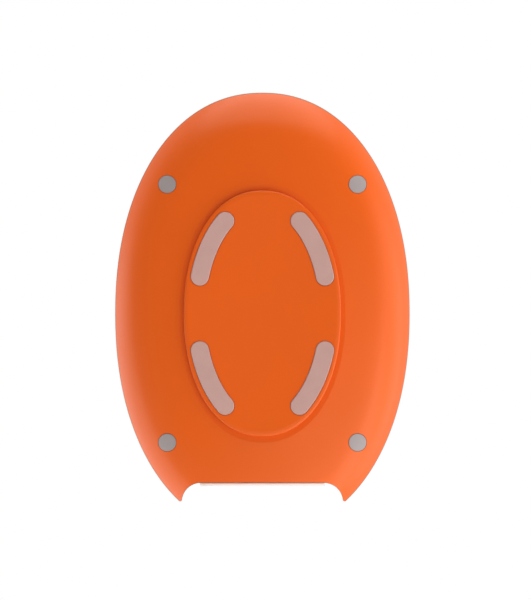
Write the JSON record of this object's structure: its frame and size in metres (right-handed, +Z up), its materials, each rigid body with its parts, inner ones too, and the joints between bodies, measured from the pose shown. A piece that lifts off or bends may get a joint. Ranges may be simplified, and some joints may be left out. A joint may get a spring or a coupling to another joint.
{
  "type": "scoop rescue board",
  "caption": "Oval dished rescue board, open at one end, with a raised oval base plate, curved grip pads and plugged screw wells underneath.",
  "frame": {"origin": "on the ground, at the middle of the board's footprint", "axes": "+Y towards the closed head end, the open mouth at -Y, +Z up out of the dish, +X to the left of someone facing -Y with the dish up"},
  "size_m": [0.4044, 0.5614, 0.064],
  "materials": {
    "orange_shell": "satin gloss moulded orange polyethylene",
    "pale_panel": "fine matt off-white",
    "grey_plug": "matt warm grey",
    "steel": "stainless, turned",
    "brass": "plain turned",
    "foam": "closed-cell foam",
    "gasket": "matt",
    "silicone": "matt translucent pink-brown"
  },
  "bodies": {
    "root": {"lower_shell": "orange_shell", "upper_panel": "pale_panel", "foam_core": "foam", "rim_gasket": "gasket", "base_plate": "orange_shell", "grip_pad_head_left": "silicone", "grip_pad_head_right": "silicone", "grip_pad_mouth_left": "silicone", "grip_pad_mouth_right": "silicone", "screw_plug_head_left": "grey_plug", "screw_plug_head_right": "grey_plug", "screw_plug_mouth_left": "grey_plug", "screw_plug_mouth_right": "grey_plug", "shell_screw_head_left": "steel", "shell_screw_head_right": "steel", "shell_screw_mouth_left": "steel", "shell_screw_mouth_right": "steel", "washer_head_left": "steel", "washer_head_right": "steel", "washer_mouth_left": "steel", "washer_mouth_right": "steel", "threaded_insert_head_left": "brass", "threaded_insert_head_right": "brass", "threaded_insert_mouth_left": "brass", "threaded_insert_mouth_right": "brass", "base_screw_head_left_1": "steel", "base_screw_head_left_2": "steel", "base_screw_head_right_1": "steel", "base_screw_head_right_2": "steel", "base_screw_mouth_left_1": "steel", "base_screw_mouth_left_2": "steel", "base_screw_mouth_right_1": "steel", "base_screw_mouth_right_2": "steel"}
  },
  "joints": []
}
